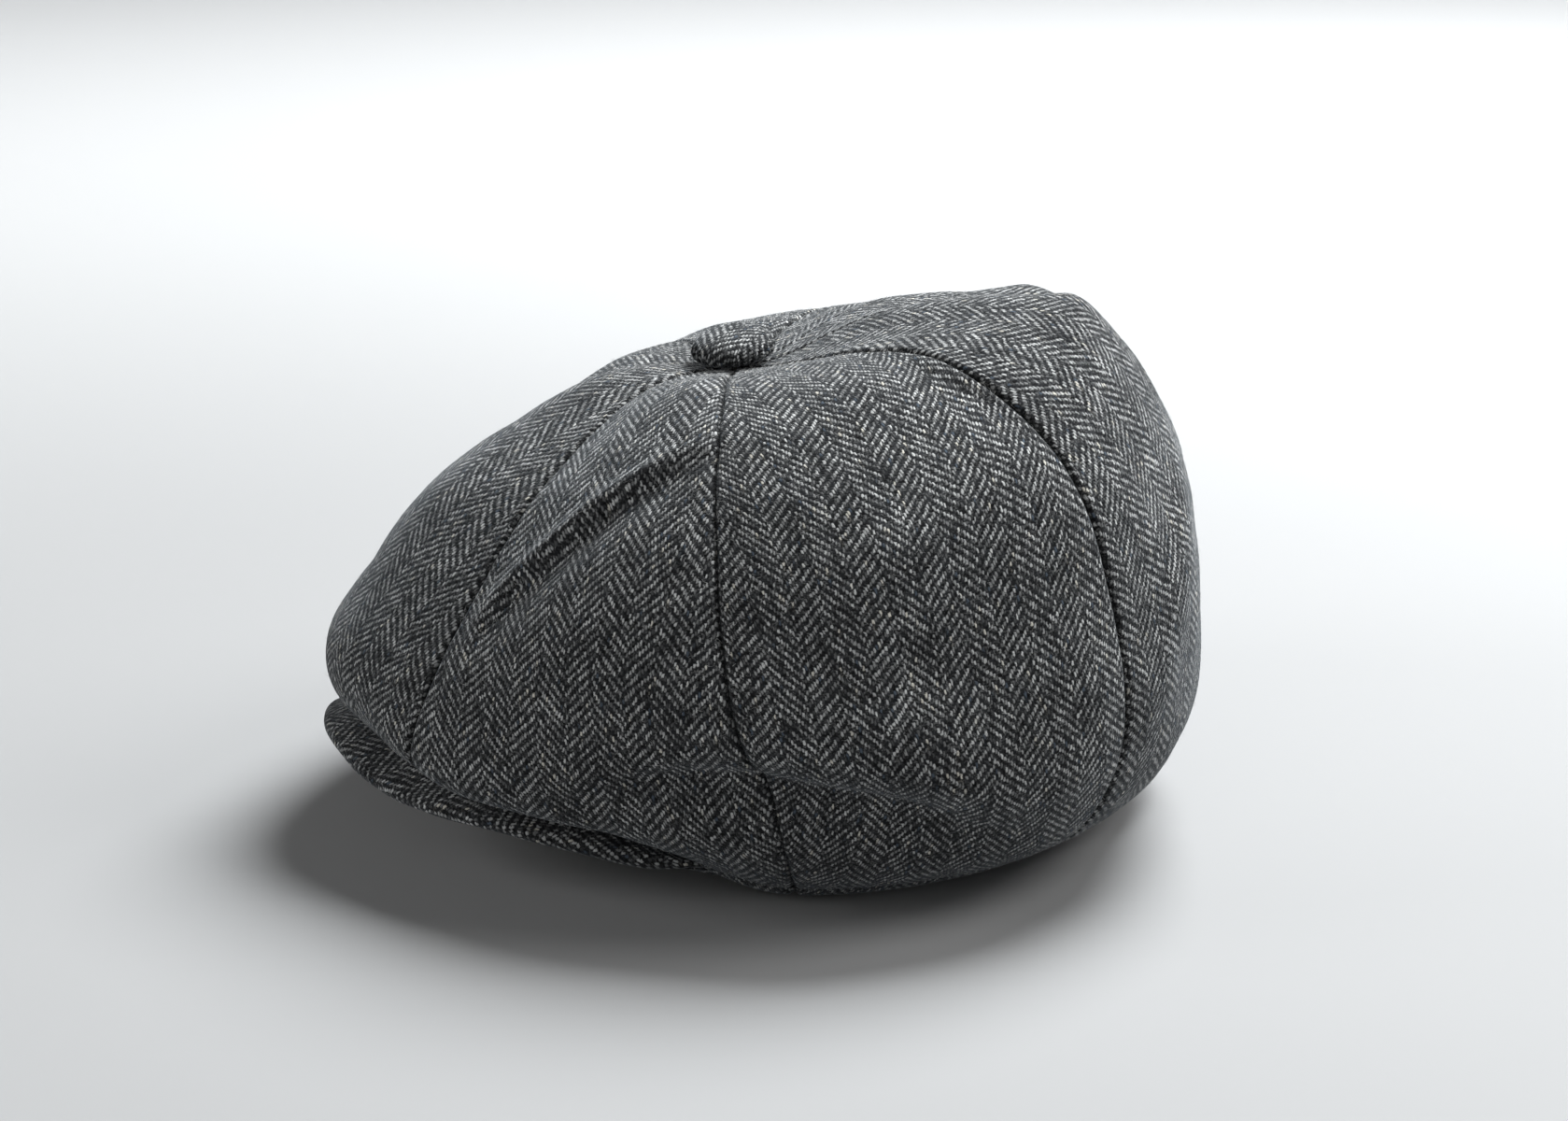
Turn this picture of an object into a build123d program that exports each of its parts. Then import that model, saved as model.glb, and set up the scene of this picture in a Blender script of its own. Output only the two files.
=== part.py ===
from build123d import *
import os
from math import asin, cos, degrees, pi, radians, sin, sqrt

import numpy as np

# Newsboy cap, eight panels, in millimetres. +Z is up, the visor points to -Y and
# the wearer's left is +X. The origin is the centre of the head opening, in the
# plane of the sides of its rim.

# Head opening: an oval rim whose sides lie in z = 0
RIM_HALF_LENGTH = 104.0
RIM_HALF_WIDTH = 88.0
FRONT_ARCH = 32.0          # the rim rises over the forehead
FRONT_ARCH_START = -26.0   # y where that rise begins
BACK_RISE = 14.0           # the rim rises at the nape
BACK_RISE_START = -25.0    # y where that rise begins

# Crown: eight panels that meet under the button, on an upright axis at y = CROWN_Y
CROWN_Y = -27.0
TWEED = 1.6                # cloth with its interlining
SEAM_GAP = 0.5             # daylight between two panels' edges
PANEL_START = 3.2          # radius of the hole where the eight points meet
SLUMP = 17.0               # the wearer's right side of the crown lies lower
SLUMP_FRONT = 90.0         # it sinks over this angle from the front
SLUMP_BACK = 30.0          # and over this angle from the back
SLUMP_END = 0.8            # and only over this share of the way down
SEAMS = (27.0, 79.0, 128.0, 163.0)

# Upright sections of the crown at angles from the front: (distance from the axis,
# height), from the button over the top to the lowest fold. The rim is the next point.
RIBS = {
    0: [(0, 131.6), (13, 132), (27, 131.8), (42, 128.9), (62, 118.6), (84, 103.5), (104, 81),
        (115.5, 65.5), (121, 53), (118.5, 41.3), (110, 35.4), (94, 35.3)],
    27: [(0, 131.6), (13, 131.8), (26, 131), (40, 127), (62, 115), (81, 100), (101, 74),
         (113.5, 53), (116.5, 41), (112.5, 33), (104, 30.9), (94, 31.8)],
    52: [(0, 131.6), (13, 132), (45, 132), (70, 118), (91, 97), (106, 72), (112, 51.5),
         (111.5, 33.4), (105, 24.2), (97, 22.7)],
    79: [(0, 131.6), (13, 132.6), (50, 137), (79, 125), (102, 102), (114, 74),
         (117, 48), (110, 27), (97, 12)],
    128: [(0, 131.6), (13, 133.6), (59, 146.5), (92, 141), (117, 126), (131, 104),
          (139, 80), (143, 52), (134, 26), (120, 12)],
    145: [(0, 131.6), (13, 134), (36, 143.8), (60, 150.8), (92, 150.5), (109, 144.5), (122, 131.5),
          (132.5, 113.5), (140, 88), (142, 60), (140, 40), (131, 22)],
    163: [(0, 131.6), (13, 134.5), (36, 146.5), (60, 153.3), (90, 155), (99, 155), (109.5, 146),
          (119.8, 131.5), (127.3, 116), (134, 93), (137, 60), (136, 38), (131, 23)],
    180: [(0, 131.6), (13, 134.5), (36, 144.6), (60, 147.2), (90, 147), (102, 145), (113, 137),
          (123.8, 120), (132.8, 97), (138, 60), (137, 36)],
}
PANEL_LENGTH = 250.0       # rough run of a rib from button to rim
LENGTH_STEPS = 30
WIDTH_STEPS = 8
FIT = 0.02                 # how close a face passes to its points
HEAD = (0, -5, 60)         # a place inside the cap

# Visor: tweed over and under a stiff board, sewn into the front of the rim
VISOR_HALF_WIDTH = 82.0
VISOR_TIP_Y = -150.0
VISOR_END_Y = -44.0
VISOR_ROOT_ANGLE = 64.0    # reach of the visor round the rim, from the front
VISOR_SIDE = 84.0          # its outline stops short of 90 degrees, where it narrows
UNDER_VISOR = (0, -120, -200)
VISOR_EDGE_TOP = 31.5      # top of the visor's edge at its tip
VISOR_END_TOP = 10.0       # top of the visor's edge at its ends
VISOR_DROP = 3.8           # the edge dips this much on each side of its tip
VISOR_DIP_END = 60.0       # half angle where that dip ends
VISOR_BOW = 2.5            # how far the visor bulges between rim and edge
VISOR_CLOTH = 1.3
VISOR_BOARD = 1.8
VISOR_GAP = 0.3
BOARD_INSET = 2.0
BOARD_SIDE = 80.0          # the board stops short of the covers' ends

# Sweatband, its back join and the tape that holds the rim's size
TAPE_INSET = 2.4
TAPE_THICKNESS = 0.8
TAPE_HEIGHT = 12.0
BAND_INSET = 3.8
BAND_THICKNESS = 1.0
BAND_HEIGHT = 30.0
BAND_LIFT = 1.0
BAND_LEAN = 2.0            # the top edge stands this much further in
BAND_CLEAR = 1.2           # room between the band's top edge and the lining
BAND_STEPS = 49
BAND_OPENING = 1.0         # half angle between the band's two ends, degrees
JOIN_HALF_ANGLE = 4.0
JOIN_THICKNESS = 0.8

# Lining: eight gores that hang from the band's top edge to the crown's centre
LINING = 0.6
LINING_TOP = 125.8
LINING_INSET = 5.5
LINING_START = 4.5
LABEL_THICKNESS = 0.4
LABEL_HALF_ANGLE = 13.0
LABEL_HIGH = 48.0          # angles down the dome, from its top
LABEL_LOW = 66.0

# Button: cloth over a metal dome, closed by a plate with a wire shank
BUTTON_BASE = 135.6
BUTTON_NOD = 8.0          # its front lies lower
BUTTON_LEAN = 6.0          # and so does its left
BUTTON_RADIUS = 12.0
BUTTON_HEIGHT = 6.4
BUTTON_CLOTH = 0.9
SHELL_THICKNESS = 0.5
PLATE_THICKNESS = 0.8
SHANK_WIRE = 1.0
SHANK_HALF_WIDTH = 1.6
SHANK_DROP = 8.0
BUTTON_GAP = 0.1
THREAD_RADIUS = 0.6
THREAD_LENGTH = 9.0


def spline_through(knots, values, at, periodic=False):
    """A cubic spline through values at knots, read at the places given in at."""
    x = np.asarray(knots, float)
    y = np.asarray(values, float)
    h = np.diff(x)
    slope = np.diff(y, axis=0) / h[:, None]
    n = len(x)
    matrix = np.eye(n)
    rhs = np.zeros_like(y)
    for i in range(1, n - 1):
        matrix[i, i - 1: i + 2] = h[i - 1], 2 * (h[i - 1] + h[i]), h[i]
        rhs[i] = 6 * (slope[i] - slope[i - 1])
    if periodic:
        matrix[0, 0], matrix[0, 1], matrix[0, n - 2] = 2 * (h[0] + h[-1]), h[0], h[-1]
        rhs[0] = 6 * (slope[0] - slope[-1])
        matrix[n - 1, 0] = -1.0
    bend = np.linalg.solve(matrix, rhs)
    at = np.asarray(at, float)
    k = np.clip(np.searchsorted(x, at) - 1, 0, n - 2)
    a = ((x[k + 1] - at) / h[k])[:, None]
    b = 1 - a
    curve = (a ** 3 - a) * bend[k] + (b ** 3 - b) * bend[k + 1]
    return a * y[k] + b * y[k + 1] + curve * (h[k] ** 2)[:, None] / 6


def rim_radius(angle):
    """Distance from the crown's axis to the rim oval, at an angle from the front."""
    across = (sin(angle) / RIM_HALF_WIDTH) ** 2 + (cos(angle) / RIM_HALF_LENGTH) ** 2
    middle = CROWN_Y * cos(angle) / RIM_HALF_LENGTH ** 2
    rest = (CROWN_Y / RIM_HALF_LENGTH) ** 2 - 1
    return (middle + sqrt(middle ** 2 - across * rest)) / across


def rim_height(y):
    """Height of the rim at a place along the cap's length."""
    front = min(max((FRONT_ARCH_START - y) / (RIM_HALF_LENGTH + FRONT_ARCH_START), 0), 1)
    back = min(max((y - BACK_RISE_START) / (RIM_HALF_LENGTH - BACK_RISE_START), 0), 1)
    return FRONT_ARCH * sin(front * pi / 2) ** 2 + BACK_RISE * back ** 1.6


def slump(angle, t):
    """How much lower the wearer's right side lies, at a share t of the way down it."""
    around = -degrees(angle)
    front = min(max(around / SLUMP_FRONT, 0), 1)
    back = min(max((180 - around) / SLUMP_BACK, 0), 1)
    spread = front ** 2 * (3 - 2 * front) * back ** 2 * (3 - 2 * back)
    return SLUMP * spread * sin(pi * min(t / SLUMP_END, 1)) ** 2


def rim_at(angle):
    radius = rim_radius(angle)
    return radius, rim_height(CROWN_Y - radius * cos(angle))


def rib_along(angle, along):
    """One rib, read at equal steps of its length, less its share of the rim."""
    rim = np.array(rim_at(radians(angle)))
    points = np.vstack([RIBS[abs(angle)], rim])
    knots = np.append(0, np.cumsum(np.sqrt(np.linalg.norm(np.diff(points, axis=0), axis=1))))
    fine = np.linspace(0, knots[-1], 400)
    path = spline_through(knots, points, fine)
    length = np.append(0, np.cumsum(np.linalg.norm(np.diff(path, axis=0), axis=1)))
    read = np.interp(along * length[-1], length, fine)
    return spline_through(knots, points, read) - rim * along[:, None] ** 3


def crown_surface(angles, along):
    """Points of the crown's outer face: rows go from the button to the rim."""
    stations = sorted({sign * angle for angle in RIBS for sign in (-1, 1)})
    ribs = np.array([rib_along(angle, along) for angle in stations])
    flat = ribs.reshape(len(stations), -1)
    rows = []
    for row, t in enumerate(along):
        at = (np.array(angles[row]) + pi) % (2 * pi) - pi
        read = spline_through(np.radians(stations), flat, at, periodic=True)
        read = read.reshape(len(at), len(along), 2)[:, row]
        points = []
        for angle, (radius, height) in zip(at, read):
            rim = rim_at(angle)
            radius += rim[0] * t ** 3
            height += rim[1] * t ** 3
            height -= slump(angle, t)
            points.append((radius * sin(angle), CROWN_Y - radius * cos(angle), height))
        rows.append(points)
    return rows


def sheet(rows, thickness, towards):
    """A closed solid: a face through the rows of points, thickened towards a place."""
    face = Face.make_surface_from_array_of_points(rows, tol=FIT, min_deg=3, max_deg=3)
    inward = Vector(towards) - face.position_at(0.5, 0.5)
    along_normal = face.normal_at(0.5, 0.5).dot(inward) > 0
    return Solid.thicken(face, thickness if along_normal else -thickness)


def trimmed(start, end, radius):
    """Angles across a panel, short of each seam by half the gap at that radius."""
    trim = degrees(SEAM_GAP / 2 / radius)
    return np.radians(np.linspace(start + trim, end - trim, WIDTH_STEPS))


def crown_panel(start, end):
    """One panel between two seams, given as angles from the front in degrees."""
    along = np.linspace(0.0, 1.0, LENGTH_STEPS)
    along[0] = PANEL_START / PANEL_LENGTH
    middle = rib_along(0, along)[:, 0] + rim_at(0)[0] * along ** 3
    angles = [trimmed(start, end, radius) for radius in middle]
    return sheet(crown_surface(angles, along), TWEED, HEAD)


def lining_rows(start, end, inset, low=90.0, high=None):
    """Rows down the lining's dome, between two angles round it and two down it."""
    rows = []
    first = degrees(asin(LINING_START / RIM_HALF_LENGTH)) if high is None else high
    for down in np.radians(np.linspace(first, low, LENGTH_STEPS // 2)):
        points = []
        for angle in trimmed(start, end, RIM_HALF_WIDTH * sin(down)):
            radius, height = rim_at(angle)
            foot = height + BAND_LIFT + BAND_HEIGHT + BAND_CLEAR
            radius = (radius - LINING_INSET - inset) * sin(down)
            height = foot + (LINING_TOP - inset - foot) * cos(down)
            points.append((radius * sin(angle), CROWN_Y - radius * cos(angle), height))
        rows.append(points)
    return rows


def lining_gore(start, end):
    return sheet(lining_rows(start, end, 0), LINING, HEAD)


def lining_label():
    """A blank woven patch on the lining, at the back."""
    rows = lining_rows(180 - LABEL_HALF_ANGLE, 180 + LABEL_HALF_ANGLE,
                       LINING + SEAM_GAP, LABEL_LOW, LABEL_HIGH)
    return sheet(rows, LABEL_THICKNESS, HEAD)


def band_rows(start, end, inset, low, high):
    """Rows up the inside of the rim, between two angles round the oval from the front."""
    rows = []
    for height in np.linspace(low, high, WIDTH_STEPS // 2):
        lean = inset + BAND_LEAN * height / BAND_HEIGHT
        points = []
        for angle in np.radians(np.linspace(start, end, BAND_STEPS)):
            x = (RIM_HALF_WIDTH - lean) * sin(angle)
            y = -(RIM_HALF_LENGTH - lean) * cos(angle)
            rim = rim_height(-RIM_HALF_LENGTH * cos(angle))
            points.append((x, y, rim + BAND_LIFT + height))
        rows.append(points)
    return rows


def sweatband():
    around = band_rows(-180 + BAND_OPENING, 180 - BAND_OPENING, BAND_INSET, 0, BAND_HEIGHT)
    return sheet(around, BAND_THICKNESS, (0, 0, 0))


def sweatband_join():
    """The patch that covers the meeting ends of the sweatband, at the back."""
    inset = BAND_INSET + BAND_THICKNESS + SEAM_GAP
    patch = band_rows(180 - JOIN_HALF_ANGLE, 180 + JOIN_HALF_ANGLE, inset, 1, BAND_HEIGHT - 1)
    return sheet(patch, JOIN_THICKNESS, (0, 0, 0))


def rim_tape():
    around = band_rows(-180 + BAND_OPENING, 180 - BAND_OPENING, TAPE_INSET, 1, TAPE_HEIGHT)
    return sheet(around, TAPE_THICKNESS, (0, 0, 0))


def visor_rows(inset, reach=VISOR_SIDE):
    """Rows from the rim to the visor's edge, or to an inset short of it."""
    rows = []
    for out in np.linspace(0.0, 1.0, WIDTH_STEPS):
        points = []
        for side in np.linspace(-reach, reach, LENGTH_STEPS):
            angle = radians(side)
            dip = VISOR_DROP * sin(pi * min(abs(side) / VISOR_DIP_END, 1)) ** 2
            root = radians(side * VISOR_ROOT_ANGLE / 90.0)
            root_y = -RIM_HALF_LENGTH * cos(root)
            inner = Vector(RIM_HALF_WIDTH * sin(root), root_y, rim_height(root_y) - SEAM_GAP)
            edge = Vector(
                VISOR_HALF_WIDTH * sin(angle),
                VISOR_END_Y + (VISOR_TIP_Y - VISOR_END_Y) * cos(angle) ** 0.9,
                VISOR_END_TOP + (VISOR_EDGE_TOP - VISOR_END_TOP) * cos(angle) ** 1.3 - dip,
            )
            share = out * (1 - inset / (edge - inner).length)
            bow = Vector(0, 0, VISOR_BOW * 4 * share * (1 - share) * cos(angle))
            points.append(inner + (edge - inner) * share + bow)
        rows.append(points)
    return rows


def lowered(rows, depth, towards):
    """The same rows, moved a depth along their normals towards a place."""
    points = np.array([[tuple(point) for point in row] for row in rows])
    normals = np.cross(np.gradient(points, axis=0), np.gradient(points, axis=1))
    normals /= np.linalg.norm(normals, axis=-1, keepdims=True)
    side = np.sign((normals * (np.array(towards) - points)).sum())
    return (points + normals * side * depth).tolist()


def visor_layers():
    """The cloth over the board, the board, and the cloth under it."""
    over_board = VISOR_CLOTH + VISOR_GAP
    under_board = over_board + VISOR_BOARD + VISOR_GAP
    board = lowered(visor_rows(BOARD_INSET, BOARD_SIDE), over_board, UNDER_VISOR)
    under = lowered(visor_rows(0), under_board, UNDER_VISOR)
    return {
        "visor_top_cover": sheet(visor_rows(0), VISOR_CLOTH, UNDER_VISOR),
        "visor_board": sheet(board, VISOR_BOARD, UNDER_VISOR),
        "visor_under_cover": sheet(under, VISOR_CLOTH, UNDER_VISOR),
    }


def dome(radius, height, thickness):
    """A hollow button top, open below, standing on z = 0."""
    up, inward = (0, 1), (-1, 0)
    outer = Spline((radius, 0), (0, height), tangents=[up, inward])
    inner = Spline((radius - thickness, 0), (0, height - thickness), tangents=[up, inward])
    section = make_face([outer, Line(outer @ 1, inner @ 1), inner, Line(inner @ 0, outer @ 0)])
    return revolve(Plane.XZ * section, Axis.Z)


def button_parts():
    place = Pos(0, CROWN_Y, BUTTON_BASE) * Rot(BUTTON_NOD, BUTTON_LEAN, 0)
    shell_radius = BUTTON_RADIUS - BUTTON_CLOTH - BUTTON_GAP
    shell_height = BUTTON_HEIGHT - BUTTON_CLOTH - BUTTON_GAP
    plate_radius = shell_radius - SHELL_THICKNESS - 3 * BUTTON_GAP
    plate = Pos(0, 0, PLATE_THICKNESS / 2) * Cylinder(plate_radius, PLATE_THICKNESS)
    loop = FilletPolyline(
        (-SHANK_HALF_WIDTH, 0, -BUTTON_GAP),
        (-SHANK_HALF_WIDTH, 0, -SHANK_DROP),
        (SHANK_HALF_WIDTH, 0, -SHANK_DROP),
        (SHANK_HALF_WIDTH, 0, -BUTTON_GAP),
        radius=SHANK_HALF_WIDTH * 0.9,
    )
    shank = sweep(Plane(loop @ 0, z_dir=loop % 0) * Circle(SHANK_WIRE / 2), path=loop)
    thread_z = -SHANK_DROP + SHANK_WIRE / 2 + THREAD_RADIUS + BUTTON_GAP
    thread = Pos(0, 0, thread_z) * Rot(90, 0, 0) * Cylinder(THREAD_RADIUS, THREAD_LENGTH)
    return {
        "button_cover": place * dome(BUTTON_RADIUS, BUTTON_HEIGHT, BUTTON_CLOTH),
        "button_shell": place * dome(shell_radius, shell_height, SHELL_THICKNESS),
        "button_back_plate": place * plate,
        "button_shank": place * shank,
        "button_thread": place * thread,
    }


def panel_names():
    """The eight spans round the crown, from one seam to the next."""
    first, second, third, last = SEAMS
    spans = {"front": (-first, first), "back": (last, 360 - last)}
    steps = zip(("front", "", "back"), SEAMS[:-1], SEAMS[1:])
    for end, low, high in steps:
        spans[f"{end}_left".strip("_")] = (low, high)
        spans[f"{end}_right".strip("_")] = (-high, -low)
    return spans


def main():
    os.makedirs("parts", exist_ok=True)
    parts = {
        "sweatband": sweatband(),
        "sweatband_join": sweatband_join(),
        "rim_tape": rim_tape(),
        "lining_label": lining_label(),
    }
    parts.update(visor_layers())
    parts.update(button_parts())
    for name, (start, end) in panel_names().items():
        parts[f"crown_panel_{name}"] = crown_panel(start, end)
        parts[f"lining_gore_{name}"] = lining_gore(start, end)
    for name, solid in parts.items():
        export_step(solid, f"parts/{name}.step")


main()
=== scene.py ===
import math

import bmesh
import bpy
import numpy as np
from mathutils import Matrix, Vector


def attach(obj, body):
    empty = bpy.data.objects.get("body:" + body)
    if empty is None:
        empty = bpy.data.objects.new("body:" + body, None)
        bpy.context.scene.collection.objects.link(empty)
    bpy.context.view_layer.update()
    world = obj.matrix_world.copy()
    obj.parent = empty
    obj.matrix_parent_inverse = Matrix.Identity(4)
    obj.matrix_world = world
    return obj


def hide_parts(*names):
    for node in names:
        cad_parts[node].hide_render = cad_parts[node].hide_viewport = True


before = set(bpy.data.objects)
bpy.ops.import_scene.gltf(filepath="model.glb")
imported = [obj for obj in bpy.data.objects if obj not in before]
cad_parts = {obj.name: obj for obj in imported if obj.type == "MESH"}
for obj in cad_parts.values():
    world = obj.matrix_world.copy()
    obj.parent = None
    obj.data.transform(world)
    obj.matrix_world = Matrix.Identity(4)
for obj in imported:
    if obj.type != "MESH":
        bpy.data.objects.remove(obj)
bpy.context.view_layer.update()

MM = 0.001
UP = np.array([0.0, 0.0, 1.0])
LEVEL = np.array([1.0, 1.0, 0.0])     # keeps a vector's level part
rng = np.random.default_rng(8)

# ---- the cap's shape, in mm
# The same numbers and functions as the CAD source: the rim, the crown's ribs and the visor.
RIM_HALF_LENGTH, RIM_HALF_WIDTH = 104.0, 88.0
FRONT_ARCH, FRONT_ARCH_START = 32.0, -26.0
BACK_RISE, BACK_RISE_START, BACK_RISE_POWER = 14.0, -25.0, 1.6
CROWN_Y = -27.0
SLUMP, SLUMP_FRONT, SLUMP_BACK, SLUMP_END = 17.0, 90.0, 30.0, 0.8
SEAMS = (27.0, 79.0, 128.0, 163.0)
RIBS = {
    0: [(0, 131.6), (13, 132), (27, 131.8), (42, 128.9), (62, 118.6), (84, 103.5), (104, 81),
        (115.5, 65.5), (121, 53), (118.5, 41.3), (110, 35.4), (94, 35.3)],
    27: [(0, 131.6), (13, 131.8), (26, 131), (40, 127), (62, 115), (81, 100), (101, 74),
         (113.5, 53), (116.5, 41), (112.5, 33), (104, 30.9), (94, 31.8)],
    52: [(0, 131.6), (13, 132), (45, 132), (70, 118), (91, 97), (106, 72), (112, 51.5),
         (111.5, 33.4), (105, 24.2), (97, 22.7)],
    79: [(0, 131.6), (13, 132.6), (50, 137), (79, 125), (102, 102), (114, 74),
         (117, 48), (110, 27), (97, 12)],
    128: [(0, 131.6), (13, 133.6), (59, 146.5), (92, 141), (117, 126), (131, 104),
          (139, 80), (143, 52), (134, 26), (120, 12)],
    145: [(0, 131.6), (13, 134), (36, 143.8), (60, 150.8), (92, 150.5), (109, 144.5), (122, 131.5),
          (132.5, 113.5), (140, 88), (142, 60), (140, 40), (131, 22)],
    163: [(0, 131.6), (13, 134.5), (36, 146.5), (60, 153.3), (90, 155), (99, 155), (109.5, 146),
          (119.8, 131.5), (127.3, 116), (134, 93), (137, 60), (136, 38), (131, 23)],
    180: [(0, 131.6), (13, 134.5), (36, 144.6), (60, 147.2), (90, 147), (102, 145), (113, 137),
          (123.8, 120), (132.8, 97), (138, 60), (137, 36)],
}
RIB_SAMPLES = 400
RIM_FOLLOW = 3        # power of the share by which a rib takes on the rim's own line
PANEL_START, PANEL_LENGTH = 3.2, 250.0
VISOR_HALF_WIDTH, VISOR_TIP_Y, VISOR_END_Y = 82.0, -150.0, -44.0
VISOR_ROOT_ANGLE = 64.0
VISOR_EDGE_TOP, VISOR_END_TOP = 31.5, 10.0
VISOR_THICK = 5.0
VISOR_DROP, VISOR_DROP_END = 3.8, 60.0
VISOR_PLAN_POWER, VISOR_TOP_POWER = 0.9, 1.3
VISOR_SINK, VISOR_BOW = 0.3, 2.5
LINING_TOP, LINING_INSET = 125.8, 5.5
BAND_INSET, BAND_HEIGHT, BAND_LIFT, BAND_LEAN = 3.8, 30.0, 1.0, 2.0
BAND_CLEAR = 1.2


def spline_bend(knots, values, periodic):
    """Second derivatives of the cubic spline through values at knots."""
    h = np.diff(knots)
    slope = np.diff(values, axis=0) / h[:, None]
    n = len(knots)
    matrix = np.eye(n)
    rhs = np.zeros_like(values)
    for i in range(1, n - 1):
        matrix[i, i - 1: i + 2] = h[i - 1], 2 * (h[i - 1] + h[i]), h[i]
        rhs[i] = 6 * (slope[i] - slope[i - 1])
    if periodic:
        matrix[0, 0], matrix[0, 1], matrix[0, n - 2] = 2 * (h[0] + h[-1]), h[0], h[-1]
        rhs[0] = 6 * (slope[0] - slope[-1])
        matrix[n - 1, 0] = -1.0
    return np.linalg.solve(matrix, rhs)


def spline_read(knots, values, bend, at):
    h = np.diff(knots)
    k = np.clip(np.searchsorted(knots, at) - 1, 0, len(knots) - 2)
    a = ((knots[k + 1] - at) / h[k])[..., None]
    b = 1 - a
    curve = (a ** 3 - a) * bend[k] + (b ** 3 - b) * bend[k + 1]
    return a * values[k] + b * values[k + 1] + curve * (h[k] ** 2)[..., None] / 6


def spline_through(knots, values, at, periodic=False):
    knots, values = np.asarray(knots, float), np.asarray(values, float)
    bend = spline_bend(knots, values, periodic)
    return spline_read(knots, values, bend, np.asarray(at, float))


def rim_radius(angle):
    across = (np.sin(angle) / RIM_HALF_WIDTH) ** 2 + (np.cos(angle) / RIM_HALF_LENGTH) ** 2
    middle = CROWN_Y * np.cos(angle) / RIM_HALF_LENGTH ** 2
    rest = (CROWN_Y / RIM_HALF_LENGTH) ** 2 - 1
    return (middle + np.sqrt(middle ** 2 - across * rest)) / across


def rim_height(y):
    front = np.clip((FRONT_ARCH_START - y) / (RIM_HALF_LENGTH + FRONT_ARCH_START), 0, 1)
    back = np.clip((y - BACK_RISE_START) / (RIM_HALF_LENGTH - BACK_RISE_START), 0, 1)
    return FRONT_ARCH * np.sin(front * np.pi / 2) ** 2 + BACK_RISE * back ** BACK_RISE_POWER


def rim_at(angle):
    radius = rim_radius(angle)
    return radius, rim_height(CROWN_Y - radius * np.cos(angle))


def unit(vectors):
    return vectors / np.maximum(np.linalg.norm(vectors, axis=-1, keepdims=True), 1e-9)


def grid_normals(points):
    """Normals of a grid of points; rows run down the crown and columns to the left."""
    return unit(np.cross(np.gradient(points, axis=0), np.gradient(points, axis=1)))


def facing(normals, way):
    """The normals, turned round if on the whole they don't look the given way."""
    return -normals if (normals * way).sum() < 0 else normals


def run_along(points, axis):
    """Distance run along a grid or a line of points, from nought."""
    steps = np.linalg.norm(np.diff(points, axis=axis), axis=-1)
    first = np.zeros_like(steps.take([0], axis=axis))
    return np.concatenate([first, np.cumsum(steps, axis=axis)], axis=axis)


class Crown:
    """The crown's outer face as a table of ribs, read at any angle on fixed rows."""

    def __init__(self, along):
        self.along = along
        stations = sorted({sign * angle for angle in RIBS for sign in (-1, 1)})
        self.knots = np.radians(np.array(stations, float))
        self.ribs = np.array([self.rib(angle) for angle in stations])
        self.bend = [spline_bend(self.knots, self.ribs[:, i], True) for i in range(len(along))]

    def rib(self, angle):
        rim = np.array(rim_at(math.radians(angle)))
        points = np.vstack([RIBS[abs(angle)], rim])
        steps = np.sqrt(np.linalg.norm(np.diff(points, axis=0), axis=1))
        knots = np.append(0, np.cumsum(steps))
        fine = np.linspace(0, knots[-1], RIB_SAMPLES)
        path = spline_through(knots, points, fine)
        length = run_along(path, 0)
        read = np.interp(self.along * length[-1], length, fine)
        return spline_through(knots, points, read) - rim * self.along[:, None] ** RIM_FOLLOW

    def points(self, angles):
        """angles is rows x columns, in radians; the answer is rows x columns x 3."""
        out = np.empty(angles.shape + (3,))
        for row, t in enumerate(self.along):
            at = (angles[row] + np.pi) % (2 * np.pi) - np.pi
            read = spline_read(self.knots, self.ribs[:, row], self.bend[row], at)
            rim = rim_at(at)
            follow = t ** RIM_FOLLOW
            radius = read[:, 0] + rim[0] * follow
            front = np.clip(-np.degrees(at) / SLUMP_FRONT, 0, 1)
            back = np.clip((180 + np.degrees(at)) / SLUMP_BACK, 0, 1)
            spread = front ** 2 * (3 - 2 * front) * back ** 2 * (3 - 2 * back)
            low = SLUMP * spread * math.sin(math.pi * min(t / SLUMP_END, 1)) ** 2
            height = read[:, 1] + rim[1] * follow - low
            across, ahead = radius * np.sin(at), CROWN_Y - radius * np.cos(at)
            out[row] = np.stack([across, ahead, height], -1)
        return out


# ---- meshes
def mesh_piece(name, points, faces, material, uv=None, sharp=50.0):
    """A closed mesh from points in mm, riding on the cap."""
    mesh = bpy.data.meshes.new(name)
    mesh.from_pydata([tuple(p) for p in np.asarray(points) * MM], [], faces)
    if uv is not None:
        layer = mesh.uv_layers.new(name="grain")
        loops = np.empty(len(mesh.loops), int)
        mesh.loops.foreach_get("vertex_index", loops)
        layer.data.foreach_set("uv", (np.asarray(uv)[loops]).astype(np.float32).ravel())
    bm = bmesh.new()
    bm.from_mesh(mesh)
    bmesh.ops.recalc_face_normals(bm, faces=bm.faces)
    bm.to_mesh(mesh)
    bm.free()
    mesh.shade_smooth()
    mesh.set_sharp_from_angle(angle=math.radians(sharp))
    piece = bpy.data.objects.new(name, mesh)
    bpy.context.scene.collection.objects.link(piece)
    piece.data.materials.append(material)
    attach(piece, "root")
    return piece


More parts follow.
